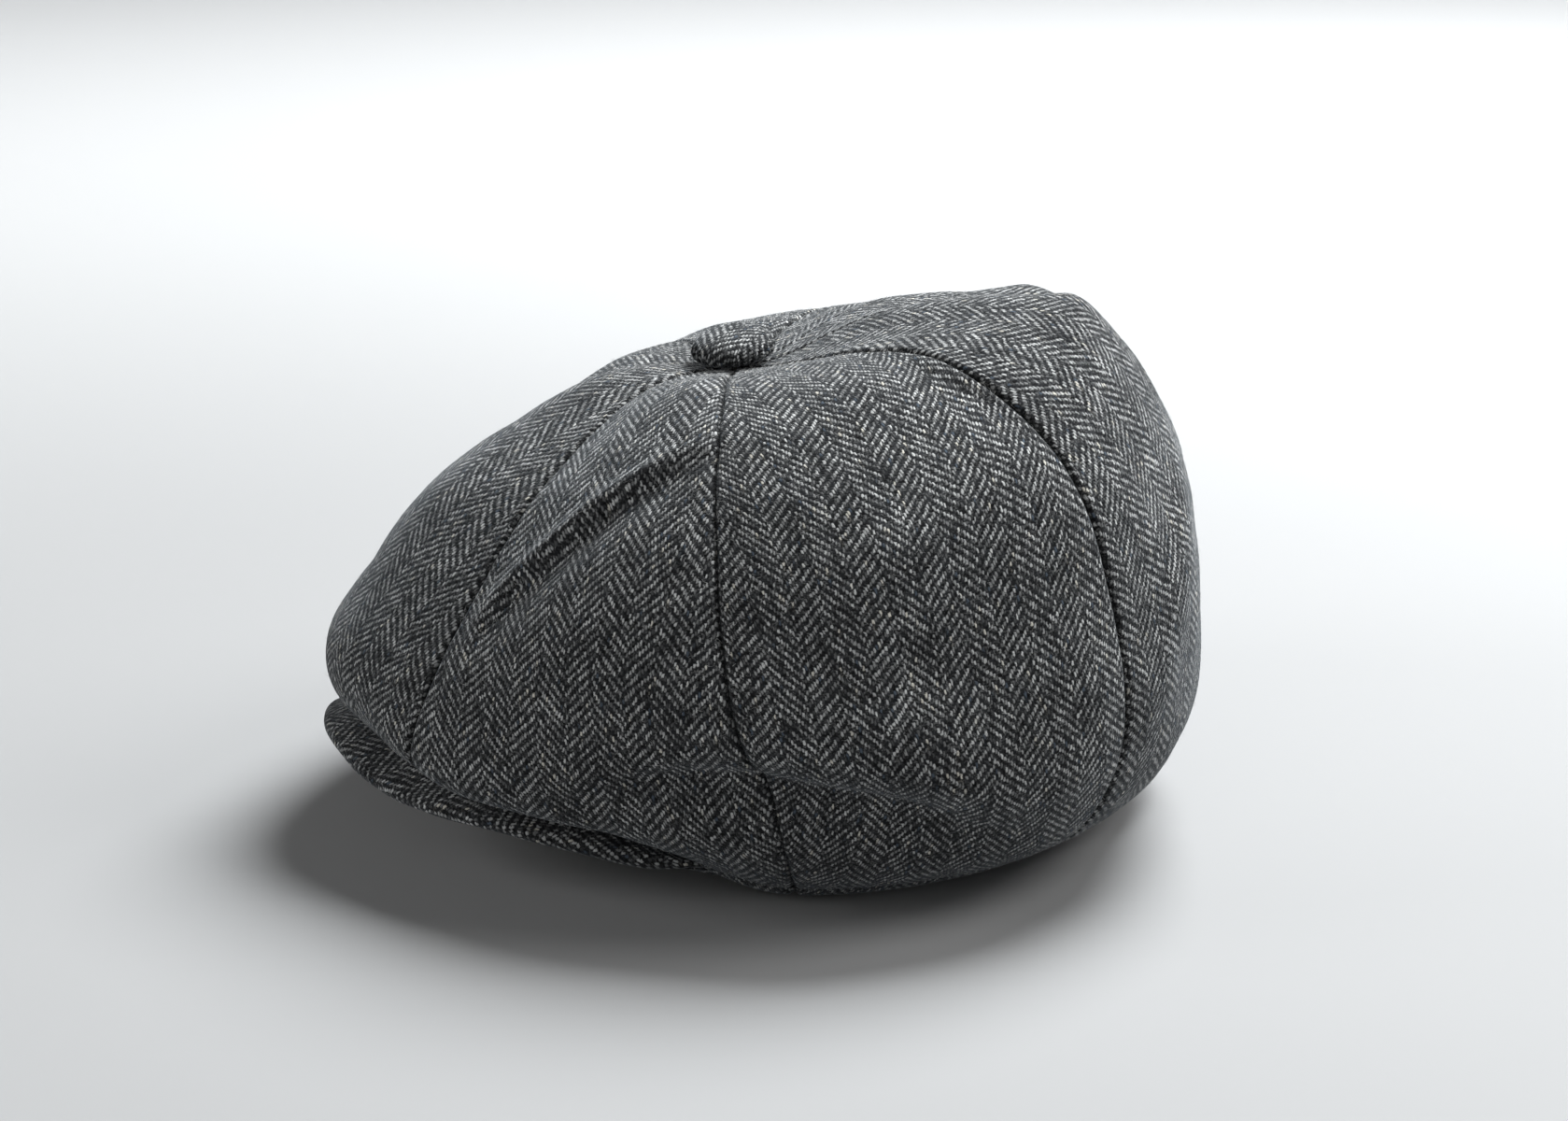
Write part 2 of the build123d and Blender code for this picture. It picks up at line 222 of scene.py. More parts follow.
def shell(outer, inner, tip=None, start=None):
    """Points and faces of a closed shell between two grids. tip and start are optional
    rows of points that round off its last and first edges."""
    rows, columns = outer.shape[:2]
    tip = np.zeros((0, columns, 3)) if tip is None else tip
    start = np.zeros((0, columns, 3)) if start is None else start
    ring = np.concatenate([outer, tip, inner[::-1], start])
    count = len(ring)
    faces = []
    for i in range(count):
        below = (i + 1) % count
        for j in range(columns - 1):
            faces.append((i * columns + j, below * columns + j,
                          below * columns + j + 1, i * columns + j + 1))
    first_inner = rows + len(tip)
    for j in (0, columns - 1):
        for i in range(rows - 1):
            a, b = i, i + 1
            c, d = first_inner + rows - 2 - i, first_inner + rows - 1 - i
            faces.append(tuple(k * columns + j for k in (a, b, c, d)))
        end = [rows - 1] + [rows + k for k in range(len(tip))] + [first_inner]
        if len(end) > 2:
            faces.append(tuple(k * columns + j for k in end))
        last = first_inner + rows - 1
        begin = [last] + [last + 1 + k for k in range(len(start))] + [0]
        if len(begin) > 2:
            faces.append(tuple(k * columns + j for k in begin))
    return ring.reshape(-1, 3), faces


def shell_uv(grain, tip=0, start=0):
    """Grain places for the points of a shell, in metres; tip and start count its end rows."""
    rows = len(grain)
    order = [*range(rows), *[rows - 1] * tip, *reversed(range(rows)), *[0] * start]
    return (grain[order] * MM).reshape(-1, 2)


def rounded_end(outer_edge, inner_edge, direction, steps=4):
    """Rows of points on half circles from the outer edge to the inner one."""
    middle, half = (outer_edge + inner_edge) / 2, (outer_edge - inner_edge) / 2
    size = np.linalg.norm(half, axis=-1, keepdims=True)
    rows = []
    for turn in np.linspace(0, np.pi, steps + 2)[1:-1]:
        rows.append(middle + half * np.cos(turn) + direction * size * np.sin(turn))
    return np.array(rows)


# ---- materials
class Graph:
    """Short names for building a node tree."""

    def __init__(self, material):
        material.use_nodes = True
        self.tree = material.node_tree
        self.shader = self.tree.nodes["Principled BSDF"]
        self.links = self.tree.links

    def node(self, kind, **settings):
        made = self.tree.nodes.new(kind)
        for key, value in settings.items():
            setattr(made, key, value)
        return made

    def put(self, socket, value):
        if isinstance(value, bpy.types.NodeSocket):
            self.links.new(value, socket)
        else:
            socket.default_value = value

    def math(self, operation, *values, clamp=False):
        made = self.node("ShaderNodeMath", operation=operation, use_clamp=clamp)
        for socket, value in zip(made.inputs, values):
            self.put(socket, value)
        return made.outputs[0]

    def times(self, first, second, clamp=False):
        return self.math("MULTIPLY", first, second, clamp=clamp)

    def plus(self, first, second, clamp=False):
        return self.math("ADD", first, second, clamp=clamp)

    def minus(self, first, second):
        return self.math("SUBTRACT", first, second)

    def vector(self, x, y, z=0.0):
        made = self.node("ShaderNodeCombineXYZ")
        for socket, value in zip(made.inputs, (x, y, z)):
            self.put(socket, value)
        return made.outputs[0]

    def noise(self, vector, scale, detail=2.0, roughness=0.5):
        made = self.node("ShaderNodeTexNoise")
        self.put(made.inputs["Vector"], vector)
        made.inputs["Scale"].default_value = scale
        made.inputs["Detail"].default_value = detail
        made.inputs["Roughness"].default_value = roughness
        return made.outputs["Fac"]

    def cells(self, vector):
        made = self.node("ShaderNodeTexWhiteNoise", noise_dimensions="3D")
        self.put(made.inputs["Vector"], vector)
        return made.outputs["Value"]

    def ramp(self, value, low, high, to_low=0.0, to_high=1.0, smooth=False):
        made = self.node("ShaderNodeMapRange")
        if smooth:
            made.interpolation_type = "SMOOTHSTEP"
        for socket, number in zip(made.inputs, (value, low, high, to_low, to_high)):
            self.put(socket, number)
        return made.outputs["Result"]

    def mix(self, amount, first, second):
        made = self.node("ShaderNodeMix", data_type="RGBA")
        self.put(made.inputs[0], amount)
        for socket, value in zip(made.inputs[6:8], (first, second)):
            if not isinstance(value, bpy.types.NodeSocket):
                value = (*value, 1.0)
            self.put(socket, value)
        return made.outputs[2]

    def scale_color(self, color, amount):
        made = self.node("ShaderNodeVectorMath", operation="SCALE")
        self.put(made.inputs[0], color)
        self.put(made.inputs["Scale"], amount)
        return made.outputs[0]

    def bump(self, height, distance, strength=1.0):
        made = self.node("ShaderNodeBump")
        made.inputs["Distance"].default_value = distance
        made.inputs["Strength"].default_value = strength
        self.put(made.inputs["Height"], height)
        self.put(self.shader.inputs["Normal"], made.outputs[0])

    def paint(self, color):
        self.put(self.shader.inputs["Base Color"], color)

    def place(self):
        """Position on the cap in mm."""
        coordinates = self.node("ShaderNodeTexCoord")
        scaled = self.node("ShaderNodeVectorMath", operation="SCALE")
        self.put(scaled.inputs[0], coordinates.outputs["Object"])
        scaled.inputs["Scale"].default_value = 1 / MM
        return scaled.outputs[0]

    def grain(self):
        """Distances across and along a piece's grain, in mm."""
        split = self.node("ShaderNodeSeparateXYZ")
        self.put(split.inputs[0], self.node("ShaderNodeUVMap", uv_map="grain").outputs[0])
        return [self.times(split.outputs[i], 1 / MM) for i in (0, 1)]


def new_material(name, roughness, **settings):
    material = bpy.data.materials.new(name)
    graph = Graph(material)
    graph.shader.inputs["Roughness"].default_value = roughness
    for key, value in settings.items():
        graph.shader.inputs[key.replace("_", " ")].default_value = value
    return material, graph


YARN = 0.75           # distance between yarns, in mm
STRIPE_YARNS = 12     # yarns in one stripe of the herringbone
OVER = 2.0            # yarns that each yarn passes over, and then under
DULL_YARN, BRIGHT_YARN = (0.05, 0.051, 0.052), (0.44, 0.445, 0.44)
CREAM_FLECK, BLUE_FLECK = (0.48, 0.46, 0.41), (0.06, 0.075, 0.095)
DARKEST_YARN, DARK_YARN = (0.002, 0.002, 0.0022), (0.018, 0.019, 0.021)
COOL_SHEEN = (0.85, 0.93, 1.0, 1.0)


def tweed_material():
    """Wool herringbone: light yarns along the grain, dark ones across, two over two.
    The twill climbs one yarn a column and turns back at each stripe."""
    material, g = new_material("tweed", 0.95, Sheen_Weight=0.2, Sheen_Roughness=0.22,
                               Specular_IOR_Level=0.08)
    g.shader.inputs["Sheen Tint"].default_value = COOL_SHEEN
    place = g.place()
    across, along = g.grain()
    flat = g.vector(across, along)

    def stray(vector, coarse, fine):
        """Uneven spacing of hand-spun yarns: a slow drift and a quick wobble, in mm."""
        slow_part = g.minus(g.noise(vector, 0.3, 2.0), 0.5)
        quick_part = g.minus(g.noise(vector, 1.3, 2.0), 0.5)
        return g.plus(g.times(slow_part, coarse), g.times(quick_part, fine))

    flat_again = g.vector(along, across, 7.0)
    column_at = g.math("DIVIDE", g.plus(across, stray(flat, 1.2, 0.75)), YARN)
    row_at = g.math("DIVIDE", g.plus(along, stray(flat_again, 1.6, 0.9)), YARN)
    column, row = g.math("FLOOR", column_at), g.math("FLOOR", row_at)
    stripe = g.math("FLOOR", g.math("DIVIDE", column, float(STRIPE_YARNS)))
    odd = g.math("FLOORED_MODULO", stripe, 2.0)
    local = g.math("FLOORED_MODULO", column, float(STRIPE_YARNS))
    mirrored = g.times(odd, float(STRIPE_YARNS - 1))
    step = g.math("ABSOLUTE", g.minus(mirrored, local))
    turn = g.plus(g.plus(row_at, step), g.times(odd, OVER))
    phase = g.math("FLOORED_MODULO", turn, 2 * OVER)
    warp_up = g.math("LESS_THAN", phase, OVER)

    def profile(fraction, power=2.0):
        off = g.minus(g.times(fraction, 2.0), 1.0)
        return g.minus(1.0, g.math("POWER", g.math("ABSOLUTE", off), power))

    # where a light yarn lies on top it shows as a soft oval, each with its own brightness
    float_share = g.times(phase, 1 / OVER, clamp=True)
    oval = g.times(profile(float_share, 2.6), profile(g.math("FRACT", column_at), 2.2))
    up = g.times(warp_up, oval)
    down = g.times(g.minus(1.0, warp_up), profile(g.math("FRACT", row_at)))
    own = g.cells(g.vector(column, g.math("FLOOR", g.math("DIVIDE", turn, 2 * OVER))))

    hairs = g.noise(g.vector(g.times(across, 6.0), g.times(along, 1.6)), 1.0, 4.0, 0.7)
    lint = g.noise(place, 5.0, 3.0, 0.7)
    fibre = g.plus(g.times(hairs, 0.55), g.times(lint, 0.45))
    light = g.mix(g.ramp(own, 0.05, 0.95), DULL_YARN, BRIGHT_YARN)
    light = g.mix(g.ramp(own, 0.97, 0.985), light, CREAM_FLECK)
    light = g.mix(g.ramp(own, 0.025, 0.015), light, BLUE_FLECK)
    weft_tone = g.noise(g.vector(g.times(across, 0.5), g.times(row, 3.7)), 1.0, 2.0)
    dark = g.mix(g.ramp(weft_tone, 0.35, 0.7), DARKEST_YARN, DARK_YARN)
    clump = g.ramp(g.noise(flat, 1.3, 2.0), 0.3, 0.7, -0.28, 0.28)
    fuzz = g.plus(g.ramp(fibre, 0.34, 0.66, -0.4, 0.4), clump)
    cover = g.plus(g.times(g.ramp(up, 0.08, 0.75), 0.92), fuzz, clamp=True)
    color = g.mix(cover, dark, light)
    mottle = g.ramp(g.noise(place, 0.08, 4.0, 0.6), 0.3, 0.7, 0.72, 1.25)
    # painted shade: the cloth's colour is darkened down in the seams and in the hem's stitched
    # crease
    seam_and_hem_shade = g.node("ShaderNodeAttribute", attribute_name="seam_and_hem_shade").outputs["Fac"]
    shade = g.minus(1.0, g.times(seam_and_hem_shade, 0.75))
    g.paint(g.scale_color(color, g.times(mottle, shade)))
    relief = g.plus(up, g.times(down, 0.6))
    g.bump(g.plus(g.times(relief, 0.7), fibre), 0.32 * MM, 0.8)
    return material


def twill_material(name, base, pitch, roughness=0.8, sheen=0.2):
    """Fine woven tape or twill of one colour."""
    material, g = new_material(name, roughness, Sheen_Weight=sheen)
    across, along = g.grain()
    ribs = g.math("FRACT", g.math("DIVIDE", g.plus(across, along), pitch))
    off = g.minus(g.times(ribs, 2.0), 1.0)
    rib = g.minus(1.0, g.times(off, off))
    wear = g.noise(g.vector(across, along), 0.25, 4.0)
    # painted shade: the colour is darker in the valleys between the ribs; the wear noise is a
    # random tone
    tone = g.times(g.ramp(rib, 0.0, 1.0, 0.55, 1.15), g.ramp(wear, 0.3, 0.7, 0.8, 1.2))
    g.paint(g.scale_color(base, tone))
    g.bump(g.plus(rib, g.times(wear, 0.5)), 0.12 * MM, 0.8)
    return material


def satin_material():
    """Lining satin: smooth, with a faint grain and a soft shine across it."""
    material, g = new_material("lining_satin", 0.38, Anisotropic=0.5, Sheen_Weight=0.15)
    across, along = g.grain()
    thread = g.noise(g.vector(g.times(across, 4.0), g.times(along, 0.3)), 1.0, 3.0)
    cloud = g.noise(g.place(), 0.05, 2.0)
    color = g.mix(cloud, (0.012, 0.012, 0.014), (0.03, 0.031, 0.035))
    g.paint(g.scale_color(color, g.ramp(thread, 0.3, 0.7, 0.8, 1.25)))
    g.put(g.shader.inputs["Roughness"], g.ramp(thread, 0.3, 0.7, 0.3, 0.48))
    g.bump(g.plus(thread, g.times(cloud, 4.0)), 0.1 * MM, 0.5)
    return material


def metal_material():
    material, g = new_material("button_metal", 0.35, Metallic=1.0)
    place = g.place()
    brushed = g.noise(place, 1.5, 6.0, 0.7)
    tarnish = g.noise(place, 0.3, 3.0)
    g.paint(g.mix(g.ramp(tarnish, 0.35, 0.65), (0.32, 0.3, 0.27), (0.55, 0.54, 0.5)))
    g.put(g.shader.inputs["Roughness"], g.ramp(brushed, 0.2, 0.8, 0.25, 0.5))
    g.bump(brushed, 0.05 * MM, 0.4)
    return material


def board_material():
    material, g = new_material("board", 0.75)
    place = g.place()
    pulp = g.noise(place, 0.8, 6.0, 0.75)
    g.paint(g.mix(pulp, (0.16, 0.12, 0.08), (0.3, 0.24, 0.17)))
    g.bump(pulp, 0.1 * MM, 0.6)
    return material


def fibre_material():
    """Loose wool hairs, from charcoal to near white."""
    material, g = new_material("wool_fibre", 0.7, Sheen_Weight=0.2)
    tone = g.ramp(g.noise(g.place(), 0.9, 2.0, 0.7), 0.35, 0.65)
    g.paint(g.mix(tone, (0.08, 0.08, 0.085), (0.55, 0.55, 0.53)))
    return material


def thread_material():
    material, g = new_material("thread", 0.6, Sheen_Weight=0.3)
    place = g.place()
    split = g.node("ShaderNodeSeparateXYZ")
    g.put(split.inputs[0], place)
    slope = g.plus(split.outputs[1], split.outputs[2])
    twist = g.math("SINE", g.times(slope, 9.0))
    color = g.mix(g.noise(place, 3.0), (0.02, 0.02, 0.022), (0.06, 0.06, 0.065))
    # painted shade: the colour darkens in the grooves of the thread's twist
    tone = g.ramp(twist, -1.0, 1.0, 0.6, 1.2)
    g.paint(g.scale_color(color, tone))
    g.bump(twist, 0.06 * MM, 0.8)
    return material


tweed = tweed_material()
twill = twill_material("sweatband_twill", (0.022, 0.022, 0.025), 0.9)
tape = twill_material("tape", (0.05, 0.05, 0.052), 1.4)
label_weave = twill_material("label", (0.2, 0.2, 0.21), 0.5, 0.55, 0.1)
satin = satin_material()
metal = metal_material()
board = board_material()
thread = thread_material()
wool = fibre_material()

# ---- crown
ROWS, COLUMNS = 190, 64
CLOTH = 1.4
SEAM_DEPTH, SEAM_REACH = 1.15, 0.85
PUFF, PUFF_REACH, PUFF_IN, PUFF_OUT = 0.6, 7.0, 0.25, 0.12
PANEL_END = 0.994     # share of a rib where the cloth's hem turns in
SEAM_TRIM = 0.12      # of the cloth left off beside each seam
CROWDING = 0.11       # how far the columns crowd towards the seams
along = np.linspace(PANEL_START / PANEL_LENGTH, PANEL_END, ROWS)
crown = Crown(along)


# How far the seams on the wearer's left stray from their ribs: shares of the way down and
# degrees. Those on the right run straight.
SEAM_STRAYS = {
    SEAMS[0]: ([0.0, 0.25, 0.4, 0.8, 1.0], [0.0, 1.4, 1.6, 0.6, 0.0]),
    SEAMS[1]: ([0.0, 0.15, 0.38, 0.55, 0.66, 0.76, 0.86, 1.0],
               [0.0, -3.5, -4.2, -2.8, -0.8, 2.8, 6.5, 11.0]),
}


# Folds of the crown: a line over it in mm, how deep and wide it is, the height of the
# cloth pushed up beside it, and the way its gentle side lies, where it has one.
FOLDS = [
    # a pull across the front left panel, from the side seam towards the visor
    ([(71, -52, 123), (68, -67, 114), (64, -85, 101), (61, -94, 92), (58, -103, 83),
      (58, -110, 74)], 3.3, 2.8, 1.8, (1, 0.6, -0.6)),
    # the hollow above the hem, from the visor round the wearer's left side
    ([(96, -83, 35), (105, -68, 42), (115, -45, 43), (121, -27, 39), (124, -9, 36),
      (121, 10, 29)], 7.6, 5.6, 0.0, (0, 0, -1)),
    # the soft ridge over that hollow
    ([(110, -61, 59), (117, -45, 58), (124, -23, 56), (127, -5, 52), (127, 13, 45),
      (120, 28, 36)], -5.0, 7.0, 0.0, (0, 0, 1)),
    # the front left panel's foot, pushed out over the visor
    ([(40, -137, 42), (55, -126, 37), (72, -108, 32), (86, -88, 27)], -2.4, 6.0, 0.0, None),
    # the left panel dips below the shoulder of the back left seam
    ([(45, 2, 145), (58, 8, 145), (71, 18, 142), (80, 28, 137), (87, 36, 132)],
     1.9, 4.5, 0.0, (1, -0.3, -0.5)),
    # small pulls at the back, the right and the front
    ([(70, 84, 120), (92, 74, 92), (104, 62, 62)], 2.0, 6.0, 0.8, (0, -1, 0)),
    ([(-66, -80, 98), (-88, -66, 78), (-98, -52, 52)], 3.0, 5.0, 1.2, (0, 1, -1)),
    ([(-60, 10, 124), (-88, 22, 100), (-108, 30, 66)], 2.4, 6.0, 1.0, (0, 1, 0)),
    ([(-40, 96, 120), (-60, 98, 90), (-64, 96, 58)], 2.2, 6.0, 1.0, (1, 0, 0)),
    ([(-20, -122, 78), (-44, -116, 66), (-66, -100, 56)], 2.2, 5.0, 0.9, (0, 0, -1)),
    ([(24, 108, 100), (30, 110, 72), (40, 104, 46)], 1.8, 6.0, 0.8, (-1, 0, 0)),
]
GENTLE = 2.6          # how much wider a fold is on its gentle side
FOLD_ENDS, FOLD_FADE = 0.04, 0.6      # a fold's ends taper with this power of a sine
BANK_AT = 1.9         # how far beside a fold its pushed-up cloth stands, in fold widths


def line_distance(points, line):
    """The way to a line of points, and how far along it the nearest place is, 0 to 1."""
    best = np.full(points.shape[:-1], np.inf)
    where = np.zeros(points.shape[:-1])
    away = np.zeros(points.shape)
    for i, (a, b) in enumerate(zip(line[:-1], line[1:])):
        d = b - a
        t = np.clip(((points - a) @ d) / (d @ d), 0, 1)
        offset = points - a - t[..., None] * d
        gap = np.linalg.norm(offset, axis=-1)
        closer = gap < best
        best = np.where(closer, gap, best)
        away = np.where(closer[..., None], offset, away)
        where = np.where(closer, (i + t) / (len(line) - 1), where)
    return best, away, where


def smooth_line(line, count=24):
    knots = run_along(np.array(line, float), 0)
    return spline_through(knots, line, np.linspace(0, knots[-1], count))


class Ripples:
    """A sum of seeded waves over space: gentle unevenness of soft cloth."""

    def __init__(self, count, shortest, longest):
        direction = rng.normal(size=(count, 3))
        length = rng.uniform(shortest, longest, count)
        self.waves = unit(direction) * (2 * np.pi / length)[:, None]
        self.phase = rng.uniform(0, 2 * np.pi, count)
        self.size = length / longest

    def at(self, points):
        waves = np.sin(points @ self.waves.T + self.phase) * self.size
        return waves.sum(-1) / math.sqrt(len(self.phase))


slow = Ripples(14, 38, 80)
quick = Ripples(26, 12, 30)
SLOW_RIPPLE, QUICK_RIPPLE, CALM_ENDS = 0.9, 0.28, 0.1
HEM_ROLL, HEM_AT, HEM_REACH = 1.0, 3.2, 2.4
HEM_CREASE, HEM_RISE, HEM_CREASE_REACH, HEM_SHADE = 0.7, 4.6, 1.3, 0.35
HEM_TURNED, HEM_TURNED_TO, HEM_TURNED_REACH = 1.3, 1.5, 3.0     # cloth turned in at the hem
SEAM_SHADE_REACH = 0.5          # reach of the painted shade along a seam


def hem_crease(from_rim):
    """The stitched crease above the hem, 1 in its middle."""
    return np.exp(-((from_rim - HEM_AT - HEM_RISE) / HEM_CREASE_REACH) ** 2)


def crown_shift(points, edge, t):
    """How far the cloth stands out from the plain crown, in mm."""
    from_rim = (1 - t) * PANEL_LENGTH
    shift = -SEAM_DEPTH * np.exp(-(edge / SEAM_REACH) ** 2)
    room = np.clip(t / PUFF_IN, 0, 1) * np.clip((1 - t) / PUFF_OUT, 0, 1)
    shift = shift - PUFF * np.exp(-(edge / PUFF_REACH) ** 2) * room
    for line, depth, width, lift, gentle in FOLDS:
        gap, away, where = line_distance(points, smooth_line(line))
        taper = np.sin(np.pi * (where * (1 - 2 * FOLD_ENDS) + FOLD_ENDS)) ** FOLD_FADE
        steep = np.ones_like(gap)
        if gentle is not None:
            lean = (away @ unit(np.array(gentle, float))) / width
            steep = 0.5 - 0.5 * np.tanh(3 * lean)
        reach = width * (1 + (GENTLE - 1) * (1 - steep))
        shift -= depth * taper * np.exp(-(gap / reach) ** 2)
        shift += lift * taper * steep * np.exp(-((gap - BANK_AT * width) / width) ** 2)
    calm = np.clip((1 - t) / CALM_ENDS, 0, 1) * np.clip(t / CALM_ENDS, 0, 1)
    shift += calm * (SLOW_RIPPLE * slow.at(points) + QUICK_RIPPLE * quick.at(points))
    roll = HEM_ROLL * np.exp(-((from_rim - HEM_AT) / HEM_REACH) ** 2)
    return shift + roll - HEM_CREASE * hem_crease(from_rim)


def panel_spans():
    """The eight spans round the crown: name, and its two seams as (seam, sign)."""
    a, b, c, d = SEAMS
    return [
        ("front", (a, -1), (a, 1)), ("front_left", (a, 1), (b, 1)), ("left", (b, 1), (c, 1)),
        ("back_left", (c, 1), (d, 1)), ("back", (d, 1), (d, -1)),
        ("back_right", (d, -1), (c, -1)), ("right", (c, -1), (b, -1)),
        ("front_right", (b, -1), (a, -1)),
    ]


def seam_angles(seam, sign):
    stray = SEAM_STRAYS.get(sign * seam, ([0.0, 1.0], [0.0, 0.0]))
    return np.radians(sign * seam + np.interp(along, *stray))


def crown_grid(low, high):
    """Base points, distance to the nearer seam and grain places of one panel."""
    start, end = seam_angles(*low), seam_angles(*high)
    end = np.where(end < start, end + 2 * np.pi, end)
    w = np.linspace(0, 1, COLUMNS)
    w = w - CROWDING * np.sin(2 * np.pi * w)
    start, turn = start[:, None], (end - start)[:, None]
    width = run_along(crown.points(start + turn * w), 1)[:, -1:]
    trim = SEAM_TRIM / np.maximum(width, 1)
    base = crown.points(start + turn * (trim + w * (1 - 2 * trim)))
    reach = run_along(base, 1)
    edge = np.minimum(reach, reach[:, -1:] - reach)
    down = run_along(base[:, COLUMNS // 2], 0)[:, None]
    across = reach - reach[:, -1:] / 2
    grain = np.stack([across, np.broadcast_to(down, across.shape)], -1)
    return base, edge, grain


nap_roots, nap_normals = [], []
for name, low, high in panel_spans():
    base, edge, grain = crown_grid(low, high)
    normals = facing(grid_normals(base), UP)
    t = along[:, None]
    outer = base + normals * crown_shift(base, edge, t)[..., None]
    from_rim = (1 - t) * PANEL_LENGTH
    turned_in = np.maximum(from_rim - HEM_TURNED_TO, 0) / HEM_TURNED_REACH
    thick = CLOTH + HEM_TURNED * np.exp(-turned_in ** 2)
    inner = outer - normals * thick[..., None]
    tip = rounded_end(outer[-1], inner[-1], unit(base[-1] - base[-3]))
    points, faces = shell(outer, inner, tip=tip)
    uv = shell_uv(grain, len(tip))
    piece = mesh_piece(f"tweed_{name}", points, faces, tweed, uv)
    # painted shade darkens the cloth down in the seams and in the hem's stitched crease
    seam_and_hem_shade = np.maximum(np.exp(-(edge / SEAM_SHADE_REACH) ** 2), HEM_SHADE * hem_crease(from_rim))
    seam_and_hem_shade = np.concatenate([seam_and_hem_shade, seam_and_hem_shade[[-1] * len(tip)], seam_and_hem_shade[::-1]]).ravel()
    layer = piece.data.attributes.new("seam_and_hem_shade", "FLOAT", "POINT")
    layer.data.foreach_set("value", seam_and_hem_shade.astype(np.float32))
    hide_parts(f"crown_panel_{name}")
    nap_roots.append(outer[2:-3, 1:-1].reshape(-1, 3))
    nap_normals.append(normals[2:-3, 1:-1].reshape(-1, 3))

# ---- nap
FIBRES = 11000
FIBRE_RADIUS, FIBRE_TAPER = 0.04, 0.6
FIBRE_SHORTEST, FIBRE_LONGEST = 0.8, 2.8
FIBRE_FLATTEST, FIBRE_STEEPEST = 0.15, 0.75       # rise in hair lengths
FIBRE_CURL, FIBRE_ROOT = 0.9, 0.1
FIBRE_STEPS, FIBRE_SIDES = 5, 3


def stray_fibres():
    """Short curled wool hairs, each a closed strand rooted in the crown's cloth."""
    roots, normals = np.concatenate(nap_roots), np.concatenate(nap_normals)
    pick = rng.choice(len(roots), FIBRES, replace=False)
    root, up = roots[pick], normals[pick]
    lie = unit(np.cross(up, rng.normal(size=(FIBRES, 3))))
    side = np.cross(up, lie)
    length = rng.uniform(FIBRE_SHORTEST, FIBRE_LONGEST, (FIBRES, 1))
    rise = rng.uniform(FIBRE_FLATTEST, FIBRE_STEEPEST, (FIBRES, 1))
    curl = rng.uniform(-FIBRE_CURL, FIBRE_CURL, (FIBRES, 1))
    points = []
    for share in np.linspace(0, 1, FIBRE_STEPS):
        spot = (root + up * (rise * length * share * (1.3 - share) - FIBRE_ROOT)
                + lie * length * share * (1 - 0.3 * share) + side * curl * length * share ** 2)
        size = FIBRE_RADIUS * (1 - FIBRE_TAPER * share)
        for turn in np.arange(FIBRE_SIDES) * 2 * np.pi / FIBRE_SIDES:
            points.append(spot + size * (up * math.cos(turn) + side * math.sin(turn)))
    points = np.stack(points, axis=1).reshape(-1, 3)
    strand = []
    for i in range(FIBRE_STEPS - 1):
        for j in range(FIBRE_SIDES):
            a, b = i * FIBRE_SIDES + j, i * FIBRE_SIDES + (j + 1) % FIBRE_SIDES
            strand.append((a, b, b + FIBRE_SIDES, a + FIBRE_SIDES))
    ends = [tuple(range(FIBRE_SIDES))[::-1],
            tuple(range((FIBRE_STEPS - 1) * FIBRE_SIDES, FIBRE_STEPS * FIBRE_SIDES))]
    count = FIBRE_STEPS * FIBRE_SIDES
    faces = [tuple(first + k for k in face)
             for first in range(0, FIBRES * count, count) for face in strand + ends]
    mesh_piece("tweed_nap", points, faces, wool)


stray_fibres()

# ---- visor
VISOR_ROWS, VISOR_COLUMNS = 60, 156
VISOR_SIDE = 88.0     # its cloth runs on past the ends of the board, at 80
VISOR_THIN, VISOR_TAPER = 79.0, 8.0   # and thins down from here, over this reach
VISOR_THIN_BY = 0.75  # share of its half thickness that it loses
VISOR_CLOTH, VISOR_CLOTH_SHARE = 1.2, 0.85
ROLL_STEPS = 15
TURNED_UNDER = (1.0, 2.0, 3.0, 4.0)   # rows of cloth on the underside, from the edge in
QUICK_WAVE, SLOW_WAVE = 0.25, 0.2
UNDER_GAP, UNDER_INSET = 0.3, 3.2     # the under cover lies inside the turned edge


def visor_top(out, side):
    """Top of the visor's cloth: out from the rim (0) to the edge (1), side in degrees."""
    angle = np.radians(side)
    root = np.radians(side * VISOR_ROOT_ANGLE / 90.0)
    root_y = -RIM_HALF_LENGTH * np.cos(root)
    inner = np.stack([RIM_HALF_WIDTH * np.sin(root), root_y, rim_height(root_y) - VISOR_SINK], -1)
    cosine = np.maximum(np.cos(angle), 0)
    dip = VISOR_DROP * np.sin(np.pi * np.minimum(np.abs(side) / VISOR_DROP_END, 1)) ** 2
    edge = np.stack([
        VISOR_HALF_WIDTH * np.sin(angle),
        VISOR_END_Y + (VISOR_TIP_Y - VISOR_END_Y) * cosine ** VISOR_PLAN_POWER,
        VISOR_END_TOP + (VISOR_EDGE_TOP - VISOR_END_TOP) * cosine ** VISOR_TOP_POWER - dip,
    ], -1)
    point = inner + (edge - inner) * out[..., None]
    point[..., 2] += VISOR_BOW * 4 * out * (1 - out) * cosine
    return point


def level_grain(points):
    """Grain places straight across and along the cap."""
    return np.stack([points[..., 0], -points[..., 1]], -1)


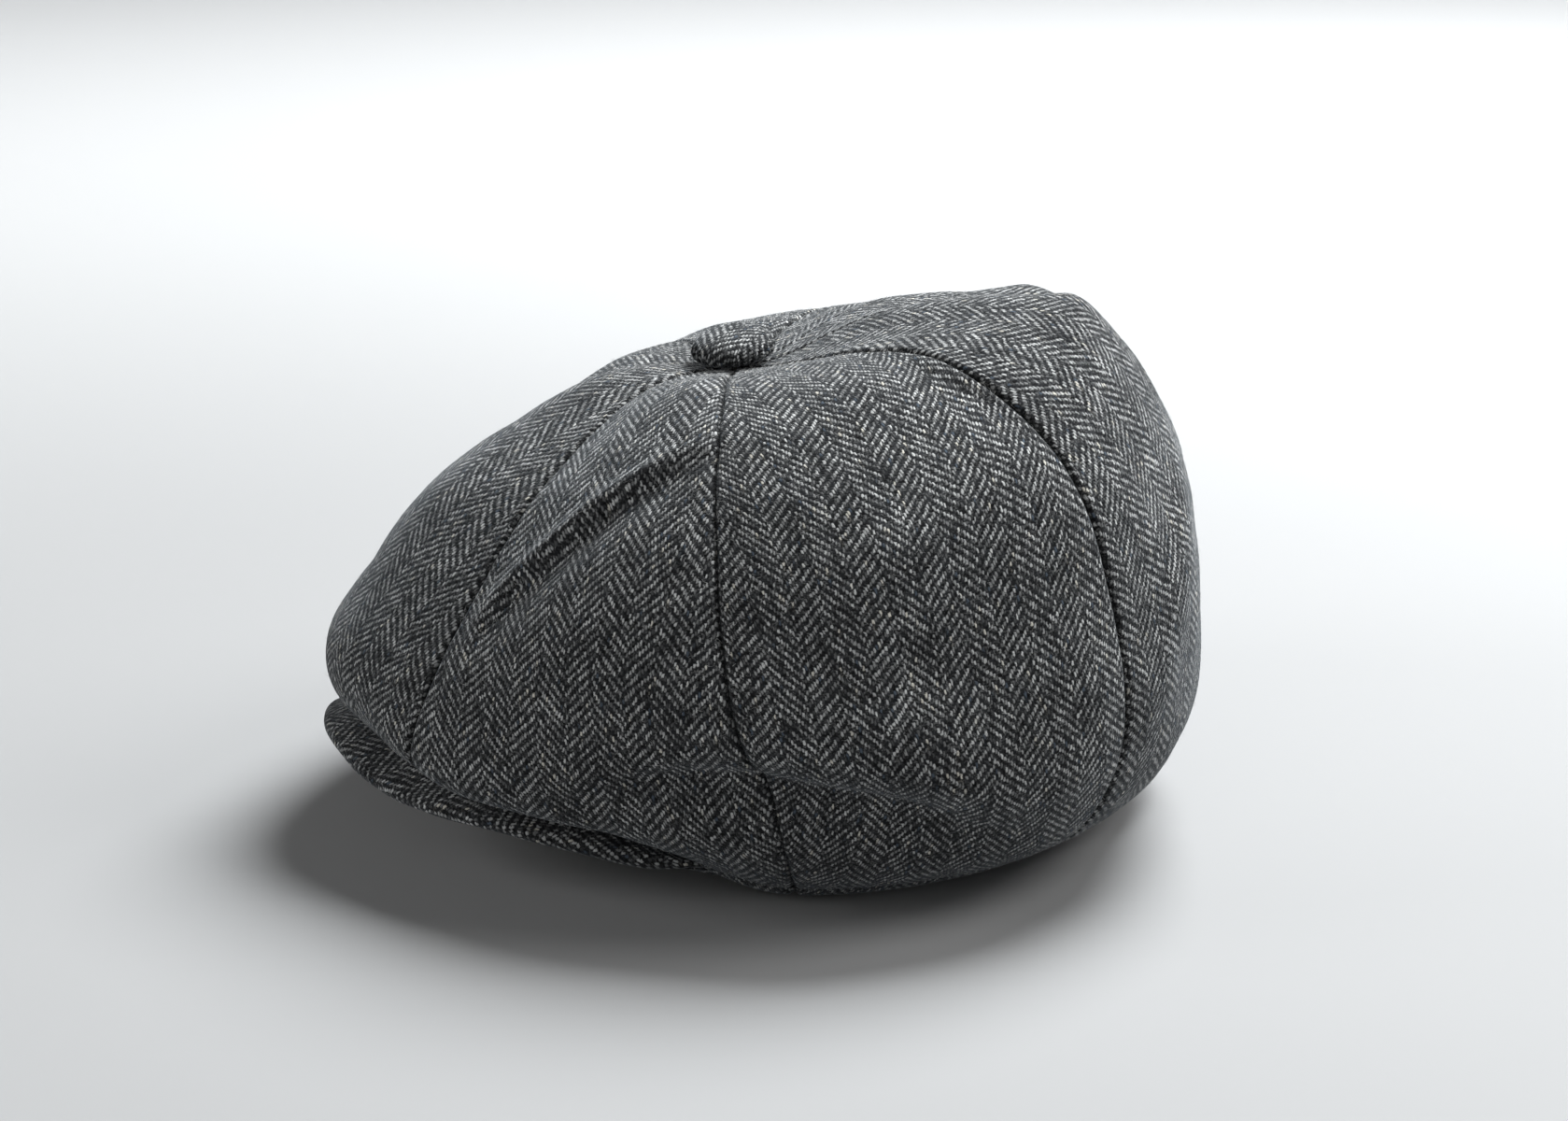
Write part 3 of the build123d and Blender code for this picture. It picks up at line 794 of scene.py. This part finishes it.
def visor_pieces():
    side = np.linspace(-VISOR_SIDE, VISOR_SIDE, VISOR_COLUMNS)
    out = np.linspace(0, 1, VISOR_ROWS)
    grid = visor_top(*np.meshgrid(out, side, indexing="ij"))
    thin = np.clip((np.abs(side) - VISOR_THIN) / VISOR_TAPER, 0, 1)[:, None]
    half = VISOR_THICK / 2 * (1 - VISOR_THIN_BY * thin)
    cloth = np.minimum(VISOR_CLOTH, VISOR_CLOTH_SHARE * half)
    down = facing(grid_normals(grid), -UP)
    over = down[-1]
    outward = unit(grid[-1] - grid[0])
    outward = unit(outward - over * (outward * over).sum(-1, keepdims=True))
    # pull the top in by the edge's radius, so the rolled edge ends where the board does
    flat_top = grid - outward[None] * (out ** 3)[:, None, None] * half
    turn = np.linspace(0, np.pi, ROLL_STEPS)[1:]
    middle = flat_top[-1] + over * half
    roll = [middle + half * (outward * np.sin(a) - over * np.cos(a)) for a in turn]
    hold = [roll[-1] - outward * step for step in TURNED_UNDER]
    outer = np.concatenate([flat_top, roll, hold])
    normals = grid_normals(outer)
    normals = normals if normals[0, VISOR_COLUMNS // 2, 2] > 0 else -normals
    ripple = QUICK_WAVE * quick.at(outer) + SLOW_WAVE * slow.at(outer)
    outer = outer + normals * ripple[..., None]
    points, faces = shell(outer, outer - normals * cloth)
    # past the edge the cloth turns under: its grain runs on
    grain = level_grain(outer)
    extra = run_along(outer[VISOR_ROWS - 1:], 0)[1:]
    forward = outward[:, :2] * np.array([1, -1])
    grain[VISOR_ROWS:] = grain[VISOR_ROWS - 1] + forward * extra[..., None]
    top = mesh_piece("visor_top", points, faces, tweed, shell_uv(grain))
    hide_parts("visor_top_cover")

    low = grid + down * (2 * half + UNDER_GAP)
    low -= outward[None] * (out ** 2)[:, None, None] * (half + UNDER_INSET)
    low += down * (SLOW_WAVE * slow.at(low))[..., None]
    points, faces = shell(low - down * cloth, low)
    uv = shell_uv(level_grain(low))
    under = mesh_piece("visor_under", points, faces, tweed, uv)
    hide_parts("visor_under_cover")


visor_pieces()

# ---- button
BUTTON_BASE = 135.6
BUTTON_NOD, BUTTON_LEAN = math.radians(8), math.radians(6)
BUTTON_ROWS, BUTTON_TURNS = 44, 144
BUTTON_MIDDLE = 0.6   # radius of the closed-up hole at the top
BUTTON_PROFILE = [(0.0, 6.7), (3.0, 6.6), (6.0, 6.2), (8.5, 5.5), (10.4, 4.4), (11.6, 3.0),
                  (12.1, 1.6), (11.9, 0.4), (11.0, -0.6), (9.4, -1.0), (7.6, -1.0)]
BUTTON_GRAIN = math.radians(40)       # how far its grain lies askew
GATHERS, GATHER_DEPTH = 24, 0.42
GATHER_FROM, GATHER_OVER = 9.2, 2.6   # radius where the gathers start, and their rise
GATHER_TOP, GATHER_FADE = 6.0, 3.0    # height above which there are none
BUTTON_CLOTH = 0.8


def button_cover():
    """Cloth drawn over the dome and gathered under its rim."""
    knots = run_along(np.array(BUTTON_PROFILE), 0)
    reach = np.linspace(BUTTON_MIDDLE, knots[-1], BUTTON_ROWS)
    fine = spline_through(knots, BUTTON_PROFILE, reach)
    turn = np.linspace(0, 2 * np.pi, BUTTON_TURNS, endpoint=False)
    radius, height = fine[:, :1], fine[:, 1:]
    steep = (np.clip((radius - GATHER_FROM) / GATHER_OVER, 0, 1)
             * np.clip((GATHER_TOP - height) / GATHER_FADE, 0, 1))
    wave = np.sin(GATHERS * turn + 0.8 * np.sin(3 * turn)) * (0.75 + 0.25 * np.sin(5 * turn + 1))
    r = radius + steep * GATHER_DEPTH * wave[None, :]
    points = np.stack([r * np.sin(turn), -r * np.cos(turn), height + 0 * turn], -1)
    nod = np.array([[1, 0, 0], [0, math.cos(BUTTON_NOD), -math.sin(BUTTON_NOD)],
                    [0, math.sin(BUTTON_NOD), math.cos(BUTTON_NOD)]])
    lean = np.array([[math.cos(BUTTON_LEAN), 0, math.sin(BUTTON_LEAN)], [0, 1, 0],
                     [-math.sin(BUTTON_LEAN), 0, math.cos(BUTTON_LEAN)]])
    askew = turn - BUTTON_GRAIN
    grain = reach[:, None, None] * np.stack([np.sin(askew), np.cos(askew)], -1)
    return points @ (nod @ lean).T + np.array([0, CROWN_Y, BUTTON_BASE]), grain


def ring_piece(name, outer, thickness, material, grain):
    """A closed shell round a full circle of columns, with open hole rows joined up."""
    wrapped = np.concatenate([outer[:, -1:], outer, outer[:, :1]], axis=1)
    normals = facing(grid_normals(wrapped)[:, 1:-1], outer - outer.mean((0, 1)))
    ring = np.concatenate([outer, (outer - normals * thickness)[::-1]])
    rows, columns = ring.shape[:2]
    faces = []
    for i in range(rows):
        for j in range(columns):
            k, below = (j + 1) % columns, (i + 1) % rows
            faces.append((i * columns + j, below * columns + j, below * columns + k,
                          i * columns + k))
    return mesh_piece(name, ring.reshape(-1, 3), faces, material, shell_uv(grain))


dome_points, dome_grain = button_cover()
dome = ring_piece("button_cloth", dome_points, BUTTON_CLOTH, tweed, dome_grain)
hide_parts("button_cover")

# ---- inside
FINISHES = {"button_shell": metal, "button_back_plate": metal, "button_shank": metal,
            "visor_board": board, "button_thread": thread}
for name, finish in FINISHES.items():
    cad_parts[name].data.materials.clear()
    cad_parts[name].data.materials.append(finish)


def band_points(start, end, inset, low, high, rows, columns):
    """Rows up the inside of the rim, between two angles round the oval from the front."""
    height = np.linspace(low, high, rows)[:, None]
    angle = np.radians(np.linspace(start, end, columns))[None]
    lean = inset + BAND_LEAN * height / BAND_HEIGHT
    x = (RIM_HALF_WIDTH - lean) * np.sin(angle)
    y = -(RIM_HALF_LENGTH - lean) * np.cos(angle)
    z = rim_height(-RIM_HALF_LENGTH * np.cos(angle)) + BAND_LIFT + height
    return np.stack([x, y, z], -1)


def band_piece(name, node, material, face, thickness, wave=0.0):
    """A band whose inner face is given; it is thickened away from the cap's middle."""
    away = unit(face * LEVEL)
    face = face + away * (wave * quick.at(face))[..., None]
    back = face + away * thickness
    start = rounded_end(back[0], face[0], -UP, 2)
    tip = rounded_end(face[-1], back[-1], UP, 2)
    points, faces = shell(face, back, tip=tip, start=start)
    across = run_along(face[0], 0)[None] + np.zeros((len(face), 1))
    height = np.linalg.norm(face - face[:1], axis=-1)
    uv = shell_uv(np.stack([across, height], -1), len(tip), len(start))
    piece = mesh_piece(name, points, faces, material, uv)
    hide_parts(node)


BAND_ENDS = 179       # degrees round from the front where the band and the tape stop
BAND_FACE = BAND_INSET + 1.0
TAPE_INSET, TAPE_LOW, TAPE_HIGH = 3.2, 1, 12
JOIN_INSET, JOIN_HALF = 5.9, 4

band_piece("band_cloth", "sweatband", twill,
           band_points(-BAND_ENDS, BAND_ENDS, BAND_FACE, 0, BAND_HEIGHT, 14, 260),
           0.9, 0.15)
band_piece("tape_cloth", "rim_tape", tape,
           band_points(-BAND_ENDS, BAND_ENDS, TAPE_INSET, TAPE_LOW, TAPE_HIGH, 5, 180),
           0.7)
band_piece("band_join_cloth", "sweatband_join", twill,
           band_points(180 - JOIN_HALF, 180 + JOIN_HALF, JOIN_INSET, 1, BAND_HEIGHT - 1, 10, 16),
           0.7)

STITCH_ROWS = (2.6, BAND_HEIGHT - 2.4)
STITCH_ENDS = 178     # degrees round from the front
STITCH_START, STITCH_STOP = 0.5, 3.0  # from the two ends of a row
STITCH_LENGTH, STITCH_PITCH, STITCH_SIDES = 2.3, 3.2, 6
# share of the stitch, radius of the thread and how far it stands off the band
STITCH_RINGS = ((0, 0.06, -0.15), (0.18, 0.24, 0.06), (0.5, 0.27, 0.14), (0.82, 0.24, 0.06),
                (1, 0.06, -0.15))


def stitches():
    """Two rows of machine stitches along the sweatband."""
    points, faces = [], []
    n = STITCH_SIDES
    turn = np.linspace(0, 2 * np.pi, n, endpoint=False)
    for low in STITCH_ROWS:
        line = band_points(-STITCH_ENDS, STITCH_ENDS, BAND_FACE + 0.1, low, low, 1, 800)[0]
        reach = run_along(line, 0)
        for begin in np.arange(STITCH_START, reach[-1] - STITCH_STOP, STITCH_PITCH):
            ends = (begin, begin + STITCH_LENGTH)
            a, b = np.stack([np.interp(ends, reach, line[:, k]) for k in range(3)], axis=1)
            forward, inward = unit(b - a), unit(-a * LEVEL)
            third = np.cross(forward, inward)
            first = len(points)
            for share, size, lift in STITCH_RINGS:
                centre = a + (b - a) * share + inward * lift
                for angle in turn:
                    points.append(centre + size * (math.cos(angle) * inward
                                                   + math.sin(angle) * third))
            for i in range(first, len(points) - n, n):
                for j in range(n):
                    k = (j + 1) % n
                    faces.append((i + j, i + k, i + n + k, i + n + j))
            faces.append(tuple(range(first, first + n)))
            faces.append(tuple(range(len(points) - n, len(points)))[::-1])
    mesh_piece("band_stitches", points, faces, thread)


stitches()

LINING_ROWS, LINING_COLUMNS = 70, 40
LINING_CLOTH = 0.5
LINING_EASE = 0.3     # how far inside the CAD gore its face starts
LINING_TRIM = 0.08    # degrees left off beside each seam
LINING_START = 2.6    # degrees down from the top
LINING_TUCK, LINING_TUCK_REACH = 1.6, 1.6
LINING_PLEAT, LINING_PLEAT_WAVE, LINING_PLEAT_POWER = 0.5, 0.9, 6
LINING_RIPPLE, LINING_SET_IN = 0.35, 0.25
LINING_NARROW = 12.0  # below this width the tucks shrink
LINING_CALM = 0.06    # share at the foot where the face settles on the band


def lining_points(start, end, inset, high, low, rows, columns):
    """Rows down the inside of the lining's dome, between two angles round from the front."""
    down = np.radians(np.linspace(high, low, rows))[:, None]
    angle = np.radians(np.linspace(start, end, columns))[None] + 0 * down
    radius, height = rim_at(angle)
    foot = height + BAND_LIFT + BAND_HEIGHT + BAND_CLEAR
    radius = (radius - LINING_INSET - inset) * np.sin(down)
    height = foot + (LINING_TOP - inset - foot) * np.cos(down)
    return np.stack([radius * np.sin(angle), CROWN_Y - radius * np.cos(angle), height], -1)


for name, low, high in panel_spans():
    start, end = low[0] * low[1], high[0] * high[1]
    end = end + 360 if end < start else end
    face = lining_points(start + LINING_TRIM, end - LINING_TRIM, LINING_EASE, LINING_START, 90,
                         LINING_ROWS, LINING_COLUMNS)
    up = facing(grid_normals(face), UP)
    reach = run_along(face, 1)
    width = reach[:, -1:]
    share = np.linspace(0, 1, LINING_ROWS)[:, None]
    tuck = LINING_TUCK * np.exp(-(np.minimum(reach, width - reach) / LINING_TUCK_REACH) ** 2)
    wave = np.sin(reach * LINING_PLEAT_WAVE + 4 * slow.at(face))
    pleat = LINING_PLEAT * wave * share ** LINING_PLEAT_POWER
    lift = tuck * np.clip(width / LINING_NARROW, 0.1, 1) + LINING_RIPPLE * slow.at(face) + pleat
    calm = np.clip((1 - share) / LINING_CALM, 0, 1)
    face = face + up * (lift * calm - LINING_SET_IN)[..., None]
    points, faces = shell(face + up * LINING_CLOTH, face)
    down = run_along(face[:, LINING_COLUMNS // 2], 0)[:, None]
    grain = np.stack([reach - width / 2, down + 0 * reach], -1)
    piece = mesh_piece(f"lining_{name}", points, faces, satin, shell_uv(grain))
    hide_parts(f"lining_gore_{name}")

# the label lies on the back gore: its place in degrees round and down, inside the lining
LABEL_START, LABEL_END, LABEL_HIGH, LABEL_LOW = 168, 192, 48, 66
LABEL_INSET, LABEL_CLOTH = 1.9, 0.4
label_face = lining_points(LABEL_START, LABEL_END, LABEL_INSET, LABEL_HIGH, LABEL_LOW, 16, 24)
label_up = facing(grid_normals(label_face), UP)
points, faces = shell(label_face + label_up * LABEL_CLOTH, label_face)
label_uv = shell_uv(label_face[..., [0, 2]])
label = mesh_piece("label_patch", points, faces, label_weave, label_uv)
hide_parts("lining_label")

# ---- floor, light, camera
FLOOR_Z = -2.2 * MM
FLOOR_RINGS, FLOOR_RADIUS, FLOOR_BEND, FLOOR_WALL = (0.4, 0.8, 1.3), 1.7, 0.8, 1.8
FLOOR_TURNS, FLOOR_BEND_STEPS = 96, 16
# painted light: the floor's colour grows paler away from the cap, making up for the lamps' light
# falling off so it looks evenly bright; near the cap it is dim, which keeps its bounce light off
# the cap
FLOOR_DIM, FLOOR_PALE, FLOOR_FAR = (0.22,) * 3, (0.24,) * 3, (0.55,) * 3
FLOOR_FADE = 250.0, 1600.0    # it turns from dim to pale between these distances, in mm


def stage_floor():
    """A pale round floor that curves up into a low wall far from the cap."""
    turns = FLOOR_TURNS
    profile = [(r, 0.0) for r in FLOOR_RINGS]
    for a in np.linspace(0, math.pi / 2, FLOOR_BEND_STEPS):
        profile.append((FLOOR_RADIUS + FLOOR_BEND * math.sin(a), FLOOR_BEND * (1 - math.cos(a))))
    profile.append((FLOOR_RADIUS + FLOOR_BEND, FLOOR_WALL))
    points, faces = [(0.0, 0.0, 0.0)], []
    for r, z in profile:
        for k in range(turns):
            angle = 2 * math.pi * k / turns
            points.append((r * math.cos(angle), r * math.sin(angle), z))
    for k in range(turns):
        after = (k + 1) % turns
        faces.append((0, 1 + k, 1 + after))
        for i in range(len(profile) - 1):
            a, b = 1 + i * turns, 1 + (i + 1) * turns
            faces.append((a + k, b + k, b + after, a + after))
    mesh = bpy.data.meshes.new("floor")
    mesh.from_pydata(points, [], faces)
    mesh.shade_smooth()
    floor = bpy.data.objects.new("floor", mesh)
    floor.location.z = FLOOR_Z
    bpy.context.scene.collection.objects.link(floor)
    material, g = new_material("floor", 0.9)
    place = g.place()
    reach = g.node("ShaderNodeVectorMath", operation="LENGTH")
    g.put(reach.inputs[0], place)
    # painted light: paler far from the cap, where the lamps light it less
    far = g.ramp(reach.outputs["Value"], *FLOOR_FADE, smooth=True)
    near = g.mix(g.noise(place, 0.002, 2.0), FLOOR_DIM, FLOOR_PALE)
    g.paint(g.mix(far, near, FLOOR_FAR))
    floor.data.materials.append(material)


# name, place in metres, height it aims at, size, power and colour
LIGHTS = (
    ("overhead", (-0.48, 0.7, 1.4), 0.08, 1.0, 86, (0.95, 0.98, 1.0)),
    ("back", (0.4, 1.3, 1.2), 0.07, 0.8, 20, (1, 1, 1)),
    ("side", (1.5, -0.6, 1.2), 0.07, 1.0, 2, (1, 1, 1)),
    ("front", (-0.1, -1.7, 0.8), 0.07, 0.9, 12, (1, 1, 1)),
)
AIM_Y = -0.02         # the lights' targets stand on this line
WORLD_COLOR, WORLD_STRENGTH = (0.93, 0.95, 0.97, 1), 0.03


def aim(item, place, target):
    """Stand a light or the camera at a place, looking at a target."""
    item.location = place
    item.rotation_euler = (Vector(target) - Vector(place)).to_track_quat("-Z", "Y").to_euler()
    bpy.context.scene.collection.objects.link(item)


stage_floor()
for name, place, aim_height, size, power, color in LIGHTS:
    data = bpy.data.lights.new(name, "AREA")
    data.shape, data.size, data.energy, data.color = "DISK", size, power, color
    aim(bpy.data.objects.new(name, data), place, (0, AIM_Y, aim_height))

world = bpy.data.worlds.new("studio")
world.use_nodes = True
background = world.node_tree.nodes["Background"]
background.inputs["Color"].default_value = WORLD_COLOR
background.inputs["Strength"].default_value = WORLD_STRENGTH
bpy.context.scene.world = world

AZIMUTH, ELEVATION, DISTANCE = math.radians(78), math.radians(17), 1.1
AIM = Vector((0, -0.012, 0.071))
camera_data = bpy.data.cameras.new("camera")
camera_data.lens, camera_data.sensor_width = 85, 36
camera = bpy.data.objects.new("camera", camera_data)
bearing = Vector((math.sin(AZIMUTH) * math.cos(ELEVATION),
                  -math.cos(AZIMUTH) * math.cos(ELEVATION), math.sin(ELEVATION)))
aim(camera, AIM + DISTANCE * bearing, AIM)
bpy.context.scene.camera = camera
bpy.context.scene.view_settings.view_transform = "Standard"
